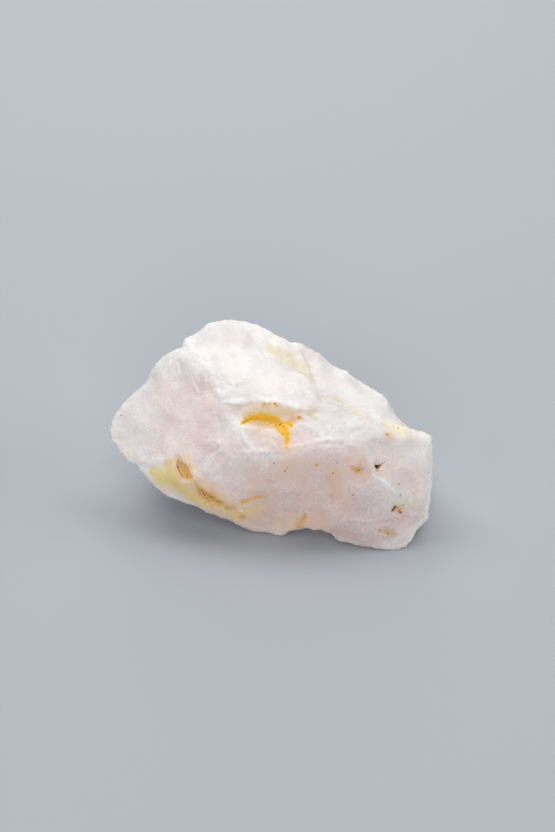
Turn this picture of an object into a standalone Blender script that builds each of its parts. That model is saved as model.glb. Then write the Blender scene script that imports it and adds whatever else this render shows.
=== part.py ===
"""A chunk of rough pink calcite, broken from the vein and resting on its flattest side.

The chunk is one solid. It starts as four angular blocks, each the hull of the corners
where its fracture faces meet. The blocks are fused, the hollows that later blows left
are cut out, and the whole skin is then worn, scooped and stepped like broken spar.
Metres, +Z up. The origin is on the resting plane, under the middle of the chunk.
"""

from math import radians

import bmesh
import bpy
from mathutils import Euler, Matrix, Vector, noise

MM = 0.001

# Driving dimensions, in millimetres unless the comment says otherwise
VOXEL = 0.9
SMOOTH_PASSES = 3  # how often the fused skin is smoothed, to round its edges
MOST_TRIANGLES = 9400  # of the finished solid
SCOOP_ACROSS = 15.0  # fracture bowls
SCOOP_DEPTH = 1.1
SCOOP_LEVEL = 0.35  # share of a bowl's depth that its rim stands proud of the block's face
CHIP_ACROSS = 6.0  # small chips
CHIP_DEPTH = 0.45
CHIP_LEVEL = 0.3
BEND_ACROSS = 9.0  # waviness of the bowls' rims
BEND = 2.5
LUMP_ACROSS = 22.0  # broad swellings
LUMP_HEIGHT = 0.9
SWELL = 0.15  # makes up for what smoothing takes off
HOLLOW_UNEVEN = 0.12  # unevenness of a scar, as a share of its radius
HOLLOW_FACETS = 1.8  # bumps of that unevenness over a radius
NOISE_SEED = 11
BELOW_FLOOR = 200.0  # size of the block that levels the base

# Corners of the four blocks, in millimetres: x to the right, y to the back, z up.
# Corners low on the back and underneath are shared, so the blocks meet there in one face.
LEFT_BACK_HIGH = (-27, 29, 33)
LEFT_BACK_LOW = (-22, 27, 8)
LEFT_BASE = (-17, 2, -2.5)
DOME_BACK_FOOT = (-10, 24.5, -2.5)
RIGHT_BACK_HIGH = (6, 33, 33)
RIGHT_BACK_LOW = (8, 30, 7)
SHOULDER_BACK_FOOT = (12, 24.5, -2.5)
RIGHT_FOOT = (44.5, 1, -2.5)
RIGHT_LOW = (50, 3, 9)
RIGHT_MIDDLE = (49, 3, 21)
MIDDLE_FOOT = (1.6, -23.2, -2.5)
MIDDLE_INSIDE = (0, 0, -2.5)

# The left wedge: the broad pink face, the stained wall below it and the thin left tip.
LEFT_WEDGE = {
    "tip low": (-55.6, 1, 25),
    "tip high": (-55.2, 5, 28.5),
    "left rim": (-51.2, 8.5, 32),
    "left rim middle": (-46, 11, 36),
    "left rim upper": (-42, 15.3, 41),
    "shoulder": (-37.5, 18.5, 45),
    "notch": (-32, 20.5, 47.2),
    "ridge top": (-27.8, 12.7, 48),
    "ridge 1": (-23.3, 8.5, 47.5),
    "ridge 2": (-20.7, 3.5, 46.2),
    "ridge 3": (-18.6, -2.2, 45),
    "ridge foot": (-15.5, -7, 42.5),
    "spur 1": (-10.5, -12, 38.5),
    "spur 2": (-8.8, -18, 35),
    "spur end": (-3.8, -20, 34),
    "wall top left": (-44.5, -12.4, 23),
    "wall top": (-27, -16.6, 25.5),
    "wall top right": (-12, -19.8, 30.5),
    "wall foot left": (-53.5, -4.5, 23),
    "wall foot 1": (-48.7, -10.7, 21.5),
    "wall foot 2": (-43.5, -14.2, 18.5),
    "wall foot 3": (-37.9, -19.2, 15),
    "wall foot 4": (-31.7, -19.9, 13),
    "wall foot 5": (-22.6, -20.4, 9.6),
    "wall foot 6": (-13.5, -21.6, 5.6),
    "wall foot 7": (-7, -22.8, 3.6),
    "middle foot": MIDDLE_FOOT,
    "middle inside": MIDDLE_INSIDE,
    "left base": LEFT_BASE,
    "tip under": (-49, 11, 23),
    "back under": (-38, 20, 19),
    "back high": LEFT_BACK_HIGH,
    "back low": LEFT_BACK_LOW,
    "back foot": DOME_BACK_FOOT,
}
# The dome: the bright upper surface, its front lip and the back.
DOME = {
    "ridge top": (-27.8, 12.7, 48),
    "ridge 1": (-23.3, 8.5, 48),
    "ridge 3": (-18.6, -2.2, 45.5),
    "lip left": (-16.5, -6.3, 43.6),
    "lip 1": (-9.5, -5.5, 44),
    "lip 2": (-3, -6, 44.5),
    "lip 3": (5.2, -6.2, 43),
    "lip 4": (13, -3.6, 41),
    "lip right": (17, 0, 40.3),
    "rim 1": (-30.5, 23, 48.6),
    "rim 2": (-27, 27.5, 48.6),
    "rim 3": (-21.5, 31.5, 49.8),
    "rim top": (-14, 33.5, 50.3),
    "rim 4": (-5, 33, 48),
    "rim right": (5, 30.5, 44),
    "crest": (-12.5, 14, 52),
    "wall left": (-13, -9, 38),
    "wall right": (15, -6, 37.5),
    "foot left": (-16, -8, 4),
    "foot right": (16, -5, 4),
    "left base": LEFT_BASE,
    "back high": LEFT_BACK_HIGH,
    "back low": LEFT_BACK_LOW,
    "back foot": DOME_BACK_FOOT,
    "back bulge": (-9, 35, 30),
    "right back high": RIGHT_BACK_HIGH,
    "right back low": RIGHT_BACK_LOW,
    "right back foot": SHOULDER_BACK_FOOT,
}
# The front mass: the bright shelf, the tall front face, the right end and the front foot.
FRONT = {
    "edge 1": (-8.8, -20.2, 33.5),
    "edge 2": (-3.8, -20.3, 34),
    "edge 3": (3, -20.2, 34.2),
    "edge 4": (9.5, -18.6, 35),
    "edge 5": (15.4, -17.1, 35.7),
    "edge 6": (22.8, -16.4, 35.7),
    "edge 7": (29.6, -12, 35.8),
    "edge 8": (43, -11.4, 33.6),
    "right corner": (53.3, -11.4, 30),
    "right corner back": (54, -7.3, 31.4),
    "right rim": (47.4, -5.9, 32.7),
    "shelf back right": (35, -5, 35.3),
    "shelf back": (25, 0, 38),
    "shelf back left": (10, -4, 39),
    "shelf left": (-10, -6.5, 38.6),
    "right end 1": (54.6, -12.2, 25),
    "right end 2": (54.4, -13.9, 19),
    "right end 3": (53.7, -19, 10),
    "right end foot": (52.6, -22.2, 5.8),
    "front foot right": (46.8, -29.8, 1),
    "front foot": (41.5, -32.2, -2.5),
    "front foot left": (24, -27.2, -2.5),
    "middle foot": MIDDLE_FOOT,
    "left foot": (-6, -22.8, 3),
    "left foot back": (-8, -18, 2.5),
    "middle inside": MIDDLE_INSIDE,
    "right foot": RIGHT_FOOT,
    "right low": RIGHT_LOW,
    "right middle": RIGHT_MIDDLE,
    "back foot": SHOULDER_BACK_FOOT,
}
# The shoulder: the paler face behind the shelf, and the right part of the back.
SHOULDER = {
    "lip": (14, 8, 42),
    "lip front": (13, -3, 40.2),
    "crease 1": (16.5, 3, 40.5),
    "crease 2": (25, 0, 38.4),
    "crease 3": (35, -5, 35.6),
    "crease 4": (41.6, -7, 33.6),
    "rim 1": (7, 31, 42.7),
    "rim 2": (16.5, 27, 40),
    "rim 3": (24, 20.8, 38),
    "rim 4": (30.6, 16.2, 34.8),
    "rim 5": (38.5, 15, 32.3),
    "rim 6": (42, 11.8, 29.4),
    "rim 7": (45, 5, 28),
    "inside": (-5, 10, 40),
    "right foot": RIGHT_FOOT,
    "right low": RIGHT_LOW,
    "right middle": RIGHT_MIDDLE,
    "back low": (34, 18, 9),
    "back foot right": (29.5, 13.5, -2.5),
    "back foot": SHOULDER_BACK_FOOT,
    "back high": RIGHT_BACK_HIGH,
    "back low left": RIGHT_BACK_LOW,
    "middle inside": MIDDLE_INSIDE,
}

# Hollows: centre, semi-axes and turn in degrees of each ellipsoid that is cut out.
# They are the stained pocket, the honey-coloured scoop, the arch between the feet,
# the recess of the stained wall, the conchoidal scars and the small pits.
HOLLOWS = {
    "stained pocket": ((-2.5, -12.5, 39.4), (8.5, 5.2, 3.4), (-18, 0, -12)),
    "honey scoop": ((8, 19, 53.3), (9, 11, 9), (0, 20, -20)),
    "arch": ((13.2, -30, -2.0), (10.5, 15, 7.6), (0, -4, 0)),
    "stained recess": ((-38.5, -29.4, 18), (13, 12.5, 9.5), (0, 20, -14)),
    "front scar": ((33, -31.8, 18.5), (11, 9, 12), (-28, 0, 10)),
    "right scar": ((47, -27, 20), (8, 9, 14), (-28, 0, 30)),
    "left rim scar": ((-48.5, 15.6, 41), (7, 7, 7), (0, 0, 0)),
    "notch scar": ((-37, 25, 53), (4.2, 5, 4), (0, 0, 0)),
    "shoulder scar": ((21.8, 27.2, 41.8), (5, 6, 5), (0, 0, -30)),
    "right step scar": ((50.5, 12, 35.3), (6, 14, 5), (0, 20, 0)),
    "foot scar": ((55.5, -24.5, 2), (4, 5, 4.5), (0, 0, 0)),
    "back scar": ((-12, 47, 22), (20, 15, 16), (0, 0, 0)),
    "right back scar": ((50, 39, 24), (36, 28.5, 26), (0, 0, 0)),
    "left under scar": ((-40, 4, -14), (34, 26, 29.5), (0, 0, 0)),
    "base scar left": ((8, 6, -7), (18, 12, 9.2), (0, 0, 25)),
    "base scar right": ((26, -5, -6), (13, 10, 7.4), (0, 0, -15)),
    "dark pit": ((35.3, -19.2, 26.4), (1.6, 1.8, 1.2), (0, 0, 0)),
    "brown pit": ((42.0, -24.0, 12.6), (2.4, 1.5, 1.2), (0, 20, 0)),
}
# The stained crack in the left wall, and how far it is sunk
CRACK = (
    (-31.4, -14.6, 27),
    (-29.5, -16.7, 23.5),
    (-25.4, -19.2, 19.8),
    (-23, -20.2, 15),
    (-20.1, -21, 12.8),
    (-15, -21.8, 11.8),
)
CRACK_HALF_WIDTH = 1.6
CRACK_DEPTH = 1.3
# The ledges that run along the crease between the shelf and the shoulder
LEDGE_LINE = ((15, 4, 40.8), (43, -7.5, 33.3))
LEDGE_STEP = 2.6
LEDGE_HEIGHT = 0.55
LEDGE_REACH = 6.0
LEDGE_ENDS = 6.0  # how quickly the steps rise from either end of the line


def clear_scene():
    for old in list(bpy.data.objects):
        bpy.data.objects.remove(old)


def new_object(name, mesh, collection):
    obj = bpy.data.objects.new(name, mesh)
    collection.objects.link(obj)
    return obj


def finish_mesh(name, bm):
    mesh = bpy.data.meshes.new(name)
    bm.to_mesh(mesh)
    bm.free()
    return mesh


def block(name, corners, collection):
    """The hull of a block's corners, with the points that end up inside it dropped."""
    bm = bmesh.new()
    for x, y, z in corners.values():
        bm.verts.new((x * MM, y * MM, z * MM))
    made = bmesh.ops.convex_hull(bm, input=bm.verts)
    unused = [v for v in made["geom_interior"] if isinstance(v, bmesh.types.BMVert)]
    bmesh.ops.delete(bm, geom=unused, context="VERTS")
    bmesh.ops.recalc_face_normals(bm, faces=bm.faces)
    return new_object(name, finish_mesh(name, bm), collection)


def as_cutter(obj):
    obj.hide_render = True
    obj.display_type = "WIRE"
    return obj


def ellipsoid_cutter(name, centre, semi_axes, turn, collection):
    """An ellipsoid with an uneven skin, so that the scar it leaves has no round rim."""
    bm = bmesh.new()
    bmesh.ops.create_icosphere(bm, subdivisions=4, radius=1.0)
    for v in bm.verts:
        v.co *= 1.0 + HOLLOW_UNEVEN * noise.noise(v.co * HOLLOW_FACETS + Vector(centre))
    rotation = Euler([radians(a) for a in turn]).to_matrix().to_4x4()
    size = Matrix.Diagonal([a * MM for a in semi_axes] + [1.0])
    place = Matrix.Translation(Vector(centre) * MM) @ rotation @ size
    bmesh.ops.transform(bm, matrix=place, verts=bm.verts)
    return as_cutter(new_object(name, finish_mesh(name, bm), collection))


def floor_cutter(collection):
    """Everything below the resting plane."""
    bm = bmesh.new()
    bmesh.ops.create_cube(bm, size=BELOW_FLOOR * MM)
    bmesh.ops.translate(bm, vec=(0, 0, -BELOW_FLOOR * MM / 2), verts=bm.verts)
    return as_cutter(new_object("floor", finish_mesh("floor", bm), collection))


def boolean(obj, other, operation):
    modifier = obj.modifiers.new(f"{operation.lower()} {other.name}", "BOOLEAN")
    modifier.operation = operation
    modifier.solver = "EXACT"
    modifier.object = other


def apply_modifiers(obj):
    graph = bpy.context.evaluated_depsgraph_get()
    mesh = bpy.data.meshes.new_from_object(obj.evaluated_get(graph))
    obj.modifiers.clear()
    obj.data = mesh


def scoops(point, across, seed):
    """Shallow bowls that meet in thin ridges, as broken spar has: 0 on a ridge, -1 in a bowl."""
    shift = Vector((seed * 3.1, seed * 1.7, seed * 2.3))
    nearest, second = noise.voronoi(point / (across * MM) + shift)[0][:2]
    return max(-1.0, nearest - second)


def off_line(point, start, end):
    """How far a point is from a line between two places, and how far it is along it, 0 to 1."""
    start, end = Vector(start) * MM, Vector(end) * MM
    along = (point - start).dot(end - start) / (end - start).length_squared
    near = start.lerp(end, min(1.0, max(0.0, along)))
    return (point - near).length / MM, along


def crack(point):
    nearest = min(off_line(point, a, b)[0] for a, b in zip(CRACK, CRACK[1:]))
    return -CRACK_DEPTH * max(0.0, 1.0 - nearest / CRACK_HALF_WIDTH)


def ledges(point):
    """Saw-tooth steps that fade out away from the crease and past its ends."""
    away, along = off_line(point, *LEDGE_LINE)
    if away > LEDGE_REACH or not 0.0 < along < 1.0:
        return 0.0
    fade = (1.0 - away / LEDGE_REACH) * min(1.0, LEDGE_ENDS * along, LEDGE_ENDS * (1.0 - along))
    return LEDGE_HEIGHT * fade * ((away / LEDGE_STEP) % 1.0 - 0.5)


def wear(obj):
    """Pushes each point of the skin in or out, by lumps, bowls, chips, ledges and the crack."""
    bm = bmesh.new()
    bm.from_mesh(obj.data)
    bm.normal_update()
    moves = []
    for v in bm.verts:
        bend = Vector(noise.noise_vector(v.co / (BEND_ACROSS * MM))) * BEND * MM
        lump = noise.noise(v.co / (LUMP_ACROSS * MM)) * LUMP_HEIGHT
        scoop = (scoops(v.co + bend, SCOOP_ACROSS, 1) + SCOOP_LEVEL) * SCOOP_DEPTH
        chip = (scoops(v.co + bend, CHIP_ACROSS, 2) + CHIP_LEVEL) * CHIP_DEPTH
        line = crack(v.co) + ledges(v.co)
        moves.append(v.normal * (SWELL + lump + scoop + chip + line) * MM)
    for v, move in zip(bm.verts, moves):
        v.co += move
    bm.to_mesh(obj.data)
    bm.free()


def centre_on_base(mesh):
    """Moves the mesh so that the origin is under the middle of its bounding box."""
    low = Vector([min(v.co[i] for v in mesh.vertices) for i in range(3)])
    high = Vector([max(v.co[i] for v in mesh.vertices) for i in range(3)])
    middle = (low + high) / 2
    mesh.transform(Matrix.Translation((-middle.x, -middle.y, -low.z)))


def calcite_material():
    material = bpy.data.materials.new("calcite")
    material.use_nodes = True
    shader = material.node_tree.nodes["Principled BSDF"]
    shader.inputs["Base Color"].default_value = (0.86, 0.76, 0.74, 1)
    shader.inputs["Roughness"].default_value = 0.5
    shader.inputs["Metallic"].default_value = 0.0
    return material


def calcite_chunk(solids, cutters):
    """The blocks fused, hollowed, given an even skin, worn, levelled and thinned out."""
    chunk = block("calcite_chunk", LEFT_WEDGE, solids)
    other_blocks = {"dome": DOME, "front": FRONT, "shoulder": SHOULDER}
    for name, corners in other_blocks.items():
        boolean(chunk, as_cutter(block(name, corners, cutters)), "UNION")
    for name, (centre, semi_axes, turn) in HOLLOWS.items():
        cutter = ellipsoid_cutter(name, centre, semi_axes, turn, cutters)
        boolean(chunk, cutter, "DIFFERENCE")

    remesh = chunk.modifiers.new("even skin", "REMESH")
    remesh.mode = "VOXEL"
    remesh.voxel_size = VOXEL * MM
    smooth = chunk.modifiers.new("worn edges", "SMOOTH")
    smooth.factor = 0.5
    smooth.iterations = SMOOTH_PASSES
    apply_modifiers(chunk)
    wear(chunk)

    boolean(chunk, floor_cutter(cutters), "DIFFERENCE")
    apply_modifiers(chunk)
    chunk.data.calc_loop_triangles()
    decimate = chunk.modifiers.new("fewer faces", "DECIMATE")
    decimate.ratio = MOST_TRIANGLES / len(chunk.data.loop_triangles)
    apply_modifiers(chunk)
    centre_on_base(chunk.data)
    chunk.data.materials.clear()
    chunk.data.materials.append(calcite_material())
    return chunk


def main():
    clear_scene()
    noise.seed_set(NOISE_SEED)
    solids = bpy.data.collections.new("Calcite chunk")
    cutters = bpy.data.collections.new("Cutters and fused blocks")
    bpy.context.scene.collection.children.link(solids)
    bpy.context.scene.collection.children.link(cutters)
    calcite_chunk(solids, cutters)


if __name__ == "__main__":
    main()
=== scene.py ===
"""A rough chunk of pale pink calcite on plain grey paper, under soft light from above."""

import itertools
import math

import bmesh
import bpy
import numpy as np
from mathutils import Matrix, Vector, kdtree
from mathutils.bvhtree import BVHTree


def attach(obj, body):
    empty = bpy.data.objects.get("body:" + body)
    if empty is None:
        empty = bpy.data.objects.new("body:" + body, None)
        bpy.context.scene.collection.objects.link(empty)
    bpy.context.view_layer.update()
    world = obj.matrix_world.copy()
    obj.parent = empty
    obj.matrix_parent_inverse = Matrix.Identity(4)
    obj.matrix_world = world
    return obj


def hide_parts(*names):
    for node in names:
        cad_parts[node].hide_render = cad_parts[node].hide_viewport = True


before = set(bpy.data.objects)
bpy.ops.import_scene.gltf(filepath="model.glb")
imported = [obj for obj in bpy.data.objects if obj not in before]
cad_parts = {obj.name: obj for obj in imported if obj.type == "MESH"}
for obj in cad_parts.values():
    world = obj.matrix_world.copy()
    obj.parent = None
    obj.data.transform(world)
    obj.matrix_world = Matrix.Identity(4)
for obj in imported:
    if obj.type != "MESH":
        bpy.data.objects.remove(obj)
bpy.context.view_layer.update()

MM = 0.001

# The photographer's view. Marks below are placed in its picture, in pixels.
PICTURE_WIDTH = 555
PICTURE_HEIGHT = 832
CAMERA_AIM = Vector((0.00216, -0.00187, 0.0335))
CAMERA_DISTANCE = 0.62
CAMERA_TILT = math.radians(38.0)
SENSOR = 36.0
PIXELS_PER_UNIT = 1823.0
STONE_MIDDLE = (280, 440)
MOST_PIXELS_OUTSIDE = 8

# Soft lights around a light tent: place in metres and power in watts
LAMP_SIZE = 0.7
LAMPS = {
    "back left top": ((-0.5, 0.5, 1.0), 5.7),
    "back right top": ((0.5, 0.5, 1.0), 2.8),
    "back top": ((0, 0.6, 1.1), 2.9),
    "back": ((0, 1.1, 0.6), 3.2),
    "front": ((0, -1.1, 0.6), 5.0),
    "front top": ((0, -0.6, 1.1), 2.9),
    "right": ((1.1, 0, 0.45), 3.0),
    "front left": ((-0.8, -0.8, 0.6), 1.9),
}
LAMP_AIM = (0, 0, 0.02)

# The room's faint light, and the floor in metres
ROOM_COLOUR = (0.9, 0.95, 1.0, 1)
ROOM_STRENGTH = 0.03
FLOOR_HALF_WIDTH = 6.0

# The skin's mesh: sizes in millimetres, and counts of passes and of points along a fine mark
VOXEL = 0.62
ROUNDING_PASSES = 3
FINE_REACH = 2.2
FINEST_REACH = 1.1
FINE_STEPS = 8

# Marks that the photo shows, as (x, y, half width in millimetres) in picture pixels.
# Each list is a line that the mark follows, and a list of one is a round mark.
GOLD_MARKS = {
    "pocket rim": [
        (241, 424.5, 0.35), (245, 420.5, 0.8), (252, 417, 1.1), (262, 416.5, 1.5), (270, 419, 1.6),
        (277, 422, 1.1), (284, 427, 1.0), (286, 432, 0.9), (287, 438, 0.65), (286.5, 444, 0.4),
        (286, 448, 0.3),
    ],
    "pocket corner": [(288, 424, 0.8), (292, 426, 0.5)],
    "pocket inner rim": [(276, 427, 0.6), (283, 435, 0.5)],
}
HALO_MARKS = {
    "pocket": [(244, 420, 1.6), (262, 416, 2.4), (278, 421, 2.0), (287, 432, 1.4), (286, 447, 0.7)],
    "pocket floor": [(245, 425, 1.8), (258, 423, 2.8), (270, 426, 2.4)],
    "pocket wall": [(246, 413, 1.2), (260, 411, 2.2), (276, 412, 2.2), (296, 417, 1.4)],
    "pocket right": [(291, 425, 1.2), (300, 419, 1.0)],
    "crack head": [(178, 461, 2.0), (183, 470, 3.2), (188, 479, 2.6)],
    "crack": [(188, 479, 2.8), (199, 490, 3.6), (211, 497, 4.2), (222, 504, 3.4)],
    "crack side": [(186, 461, 1.8), (191, 467, 1.6)],
    "low crumbs": [(229, 509, 2.0), (241, 517, 1.8), (252, 511, 1.2), (262, 507, 0.8)],
    "streak": [(242, 503, 1.2), (254, 498, 0.9), (264, 497, 0.7)],
    "arch": [(290, 524, 1.0), (301, 524, 1.6), (305, 517, 0.8)],
    "face spot": [(350, 470, 0.6), (357, 470, 1.2), (365, 475, 0.8)],
    "face spot 2": [(318, 465, 0.7)],
    "face spot 3": [(334, 474, 1.1)],
    "low smudge": [(386, 531, 0.8), (393, 533, 0.6)],
    "dark pit": [(378, 470, 1.0)],
    "shelf spot": [(387, 433, 1.1), (391, 437, 0.9)],
}
RUST_MARKS = {
    "crack head": [(179, 462, 0.5), (181.5, 468, 1.2), (185, 474, 1.5), (188, 478, 0.8)],
    "crack": [(190, 475, 0.15), (194, 481, 0.2), (199, 489, 0.3), (203, 495, 0.6)],
    "crack foot": [(203, 491, 0.7), (206.5, 496, 1.7), (212.5, 499.5, 1.9), (220, 503, 1.2)],
    "streak": [(242, 503, 0.5), (249, 500, 0.2), (256, 497, 0.25), (262, 496, 0.16)],
    "crack crumb 1": [(226, 507, 0.4), (228, 509, 0.5)],
    "crack crumb 2": [(234, 507, 0.4)],
    "low crumb": [(240, 518, 0.4), (245, 516, 0.3)],
    "arch smudge": [(303, 519, 0.45), (305.5, 515, 0.3)],
    "arch smudge foot": [(299, 526, 0.5)],
    "brown pit": [(394, 510, 0.4), (397.5, 507, 0.5)],
    "brown pit right": [(399.5, 509, 0.3), (400.5, 513, 0.25)],
    "dark pit": [(376, 467, 0.45), (379, 468, 0.45)],
    "shelf spot": [(387, 434, 0.4), (389, 433, 0.3)],
    "lip spot 1": [(264, 403, 0.5)],
    "lip spot 2": [(275, 404, 0.6)],
    "patch spot 1": [(393, 426, 0.3)],
    "patch spot 2": [(398, 428, 0.35)],
    "pocket side": [(298, 418, 0.6)],
    "face spot": [(357, 470, 0.7)],
    "face spot 2": [(317, 465, 0.4)],
}
SMUDGE_MARKS = {
    "scoop": [(300, 370, 0.5), (306, 375, 0.5)],
    "arch": [(299, 527, 1.5), (302, 521, 1.4), (305, 515, 0.6)],
    "crack foot": [(211, 494, 0.8)],
    "crack head": [(188, 467, 1.0)],
    "low smudge": [(385, 530, 0.9), (392, 533, 1.2)],
    "brown pit": [(394, 510, 0.8), (400, 509, 1.1)],
    "dark pit": [(378, 468, 1.0)],
    "crumbs": [(227, 507, 0.9), (234, 508, 0.9)],
    "low crumb": [(242, 517, 1.0)],
    # Painted shadow just under the lip
    "pocket wall": [(262, 406, 0.4), (270, 405, 0.6)],
    "pocket side": [(292, 420, 0.9), (300, 419, 0.7)],
    "face spot": [(352, 468, 0.8), (360, 470, 1.2)],
    "shelf spot": [(387, 434, 0.7)],
    "streak": [(243, 502, 0.9), (255, 498, 0.7), (265, 497, 0.5)],
}
DARK_MARKS = {
    # The three dark pit marks paint the shade inside an open pit
    "dark pit": [(376, 465.8, 0.22), (377.8, 467, 0.5)],
    "dark pit tail": [(378.5, 466.6, 0.36), (380.5, 465, 0.2), (383, 462.8, 0.08)],
    "dark pit foot": [(377.6, 470.5, 0.2)],
    "brown pit": [(392.4, 511, 0.16), (396, 507, 0.18)],
    "brown pit side": [(399, 511, 0.1), (401, 513, 0.12)],
    "crack head": [(178.5, 467, 0.26)],
    "crack grain 1": [(205, 494, 0.16)],
    "crack grain 2": [(210.5, 497.5, 0.24)],
    "crack grain 3": [(214, 500, 0.22)],
    "crack grain 4": [(216, 502, 0.18)],
    "crack grain 5": [(207, 499, 0.16)],
    "pocket grain 1": [(280, 425.5, 0.2), (282, 424, 0.12)],
    "pocket grain 2": [(283.5, 427, 0.22)],
    "pocket grain 3": [(285, 424, 0.14)],
    "pocket grain 4": [(291, 426, 0.18)],
    "pocket tip": [(242, 424, 0.24), (245, 421, 0.18)],
}
# Single specks, each a round mark
SPECKS = (
    (285, 471, 0.3), (287, 468, 0.24), (316, 465, 0.24), (333, 473, 0.3), (359, 470, 0.32),
    (353, 495, 0.32), (355, 499, 0.24), (399, 484, 0.3), (400.5, 495, 0.26), (380, 530, 0.34),
    (388, 534, 0.26), (121, 415, 0.26), (387, 434, 0.26), (403, 505, 0.26), (298, 418, 0.26),
    (305, 514, 0.26), (429, 473, 0.22), (274, 463, 0.22), (270, 480, 0.22), (298, 495, 0.22),
    (331, 496, 0.22), (337, 463, 0.2), (343, 503, 0.18), (264, 404, 0.2), (275, 404, 0.24),
    (277, 406, 0.18), (384.5, 462, 0.2), (401, 512, 0.26), (178, 460, 0.22), (186, 464, 0.2),
    (393, 426.4, 0.2), (398, 428.5, 0.22), (250, 417, 0.18), (257, 416, 0.16), (268, 418, 0.22),
)
SPECK_MARKS = {
    "crack head rim": [(176.5, 462, 0.1), (178, 469, 0.14), (182.5, 478, 0.1)],
    "crack": [(193, 479, 0.08), (198, 486, 0.16), (201.5, 492, 0.24), (205, 497, 0.16)],
    "crack foot": [(209, 501, 0.16), (213, 496.5, 0.14), (219, 503, 0.16)],
}
SPECK_MARKS.update({f"speck {k}": [mark] for k, mark in enumerate(SPECKS, 1)})
LIME_MARKS = {
    "wall head": [(153, 473, 1.2), (160, 475, 2.4), (167, 480, 3.2)],
    "wall stripe": [(168, 467, 1.6), (171, 477, 2.4)],
    "wall": [(172, 482, 1.6), (185, 491, 1.5), (196, 498, 2.2), (204, 502, 1.6)],
    "middle foot": [(230, 511, 1.4), (238, 515, 1.8), (246, 513, 1.4)],
    "low front": [(277, 522, 0.9)],
}
HONEY_MARKS = {
    "scoop": [(271, 348, 2.0), (288, 357, 4.2), (299, 365, 3.5), (307, 373, 1.8), (312, 384, 0.6)],
    "scoop corner": [(296, 366, 1.6), (303, 369, 1.8), (308, 374, 1.8)],
    "ledge line 1": [(318, 395, 0.16), (332, 398, 0.2), (348, 405, 0.16)],
    "ledge line 2": [(322, 402, 0.14), (344, 408, 0.2), (358, 414, 0.3), (372, 420, 0.3), (386, 426, 0.2)],
    "ledge line 3": [(319, 392, 0.14), (334, 394, 0.16), (350, 402, 0.16), (364, 411, 0.14)],
    "ledge line 4": [(320, 399, 0.14), (336, 404, 0.16), (352, 412, 0.16), (366, 420, 0.12)],
    "ledge dots": [(317, 397, 0.5), (321, 400, 0.4)],
    # Painted shadow just under the lip, in honey colour
    "under the lip": [(224, 404, 0.2), (236, 406, 0.4), (250, 405, 0.4), (264, 405, 0.5), (278, 407, 0.6)],
    "under the lip right": [(278, 407, 0.6), (290, 411, 0.4), (304, 411, 0.6), (316, 411, 0.7)],
    "shelf edge": [(308, 412, 0.9), (315, 418, 1.1)],
}
LEMON_MARKS = {
    "patch": [(383, 420, 1.0), (391, 426, 2.2), (400, 431, 2.4), (408, 435, 1.4)],
    "crease": [(354, 411, 0.4), (362, 414, 0.5)],
    "brown pit": [(400, 503, 0.7), (407, 505, 0.9)],
}
# Wide, soft areas: a strength from 0 to 1, and marks as above
# Warm tint round the stains, and painted warm shade near the floor
WARM_TINT_AND_SHADE_AREAS = {
    "wall": (0.6, [(180, 484, 3.6), (192, 493, 3.0)]),
    "crack band": (0.35, [(182, 474, 3.0), (194, 484, 3.0), (203, 494, 3.0)]),
    "ledge": (0.35, [(320, 396, 2.2), (334, 399, 2.0), (350, 408, 1.6), (366, 418, 1.6)]),
    "crack surround": (0.8, [(197, 487, 3.6), (212, 500, 4.4)]),
    # Painted warm shade near the floor: low middle, arch and low right
    "low middle": (0.85, [(208, 502, 3), (230, 512, 4.4), (248, 517, 5), (262, 508, 4)]),
    "arch": (0.8, [(284, 524, 4.4), (302, 523, 4.6), (320, 522, 3.6)]),
    "low right": (0.2, [(338, 530, 4)]),
    "face spot": (0.6, [(352, 468, 4.0), (362, 474, 4.0)]),
    "pink spot": (0.7, [(333, 474, 2.4), (335, 486, 2.6), (340, 502, 2.6)]),
    "pocket foot": (0.5, [(288, 449, 3.0), (298, 458, 3.4), (290, 470, 3.4)]),
    "right of pit": (0.4, [(388, 472, 2.4)]),
    "pocket floor": (0.5, [(262, 433, 3.0), (276, 441, 2.6)]),
    "pocket wall": (0.2, [(238, 409, 1.8), (262, 410, 2.8), (288, 413, 2.8), (304, 416, 2.2)]),
    "corner": (0.5, [(255, 478, 4.4), (258, 492, 4.4)]),
    "front": (0.35, [(285, 472, 6), (315, 500, 5)]),
    "upper front": (0.3, [(318, 463, 2.2), (345, 457, 3.0), (356, 456, 3.0)]),
    "left of the crack": (0.15, [(185, 446, 3.4), (196, 456, 3.0)]),
}
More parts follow.
